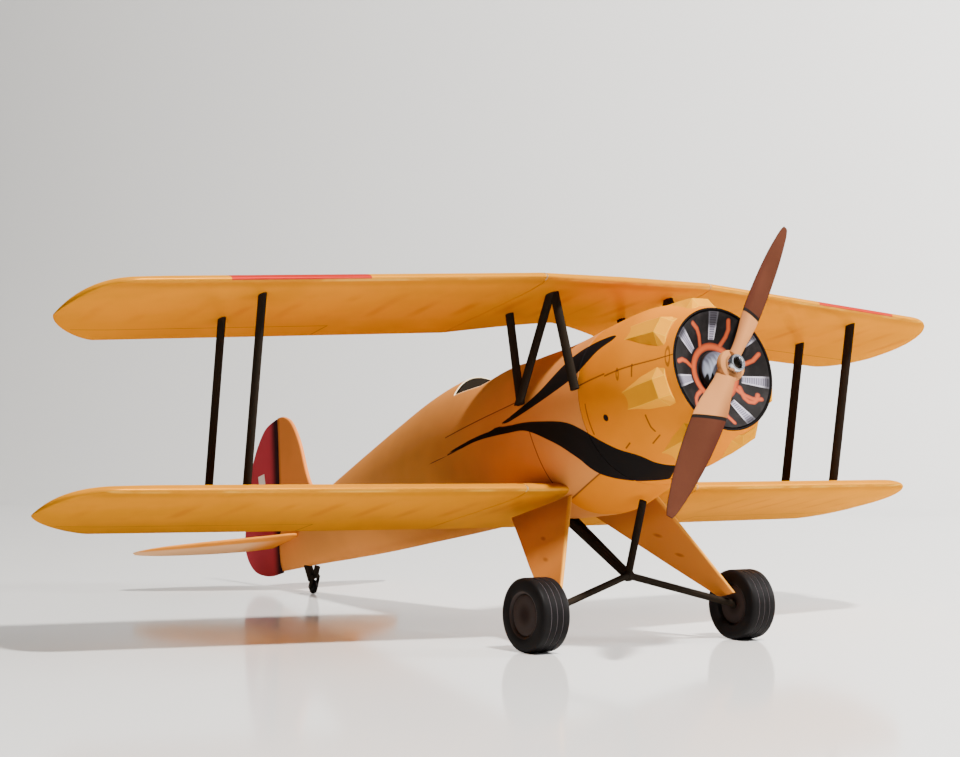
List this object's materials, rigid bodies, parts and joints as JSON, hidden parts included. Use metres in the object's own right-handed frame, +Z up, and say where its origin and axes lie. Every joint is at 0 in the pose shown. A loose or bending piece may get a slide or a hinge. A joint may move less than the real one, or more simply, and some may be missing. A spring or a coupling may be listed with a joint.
{
  "type": "card display model of a biplane",
  "caption": "Display model of a single-seat aerobatic biplane with swept wings, a round engine cowl, a two-blade propeller and a tail wheel.",
  "frame": {"origin": "on the floor under the middle of the model's bounding box", "axes": "+X along the span to the port wing tip, +Y aft to the tail, +Z up; the model stands nose up on its three wheels"},
  "size_m": [0.2748, 0.2542, 0.1042],
  "materials": {
    "orange_card": "satin printed card",
    "cowl_card": "satin printed card",
    "red_card": "satin printed card",
    "black_card": "satin printed card",
    "propeller_brown": "satin printed card",
    "grey_tube": "semi-gloss silver-grey tube",
    "tyre_black": "matte printed card",
    "hub_brown": "matte printed card"
  },
  "bodies": {
    "airframe": {"fuselage_middle": "orange_card", "fuselage_rear": "orange_card", "upper_wing_middle": "orange_card", "upper_wing_port": "orange_card", "upper_wing_starboard": "orange_card", "lower_wing_port": "orange_card", "lower_wing_starboard": "orange_card", "gear_leg_port": "orange_card", "gear_leg_starboard": "orange_card", "fin": "orange_card", "tailplane_port": "orange_card", "tailplane_starboard": "orange_card", "cowl": "cowl_card", "rudder": "red_card", "engine_face": "black_card", "crankcase": "black_card", "cockpit_tub": "black_card", "cockpit_bulkhead": "black_card", "interplane_front_port": "black_card", "interplane_front_starboard": "black_card", "interplane_rear_port": "black_card", "interplane_rear_starboard": "black_card", "cabane_front_port": "black_card", "cabane_front_starboard": "black_card", "cabane_diagonal_port": "black_card", "cabane_diagonal_starboard": "black_card", "cabane_rear_port": "black_card", "cabane_rear_starboard": "black_card", "spreader_joint": "black_card", "spreader_front": "black_card", "spreader_rear_port": "black_card", "spreader_rear_starboard": "black_card", "axle_strut_port": "black_card", "axle_strut_starboard": "black_card", "axle_port": "black_card", "axle_starboard": "black_card", "tail_leg": "black_card"},
    "propeller_body": {"propeller": "propeller_brown", "propeller_nut": "grey_tube"},
    "wheel_port": {"tyre_port": "tyre_black", "hub_port": "hub_brown"},
    "wheel_starboard": {"tyre_starboard": "tyre_black", "hub_starboard": "hub_brown"},
    "tail_wheel_body": {"tail_wheel": "tyre_black"}
  },
  "joints": [
    {"name": "propeller_spin", "type": "hinge", "parent": "airframe", "child": "propeller_body", "pos_m": [0, -0.11747, 0.06881], "axis": [0, 0.9673, -0.2536], "continuous": true},
    {"name": "wheel_port_spin", "type": "hinge", "parent": "airframe", "child": "wheel_port", "pos_m": [0.03255, -0.08551, 0.00895], "axis": [1, 0, 0], "continuous": true},
    {"name": "wheel_starboard_spin", "type": "hinge", "parent": "airframe", "child": "wheel_starboard", "pos_m": [-0.03255, -0.08551, 0.00895], "axis": [1, 0, 0], "continuous": true},
    {"name": "tail_wheel_spin", "type": "hinge", "parent": "airframe", "child": "tail_wheel_body", "pos_m": [0, 0.08084, 0.0023], "axis": [1, 0, 0], "continuous": true}
  ]
}
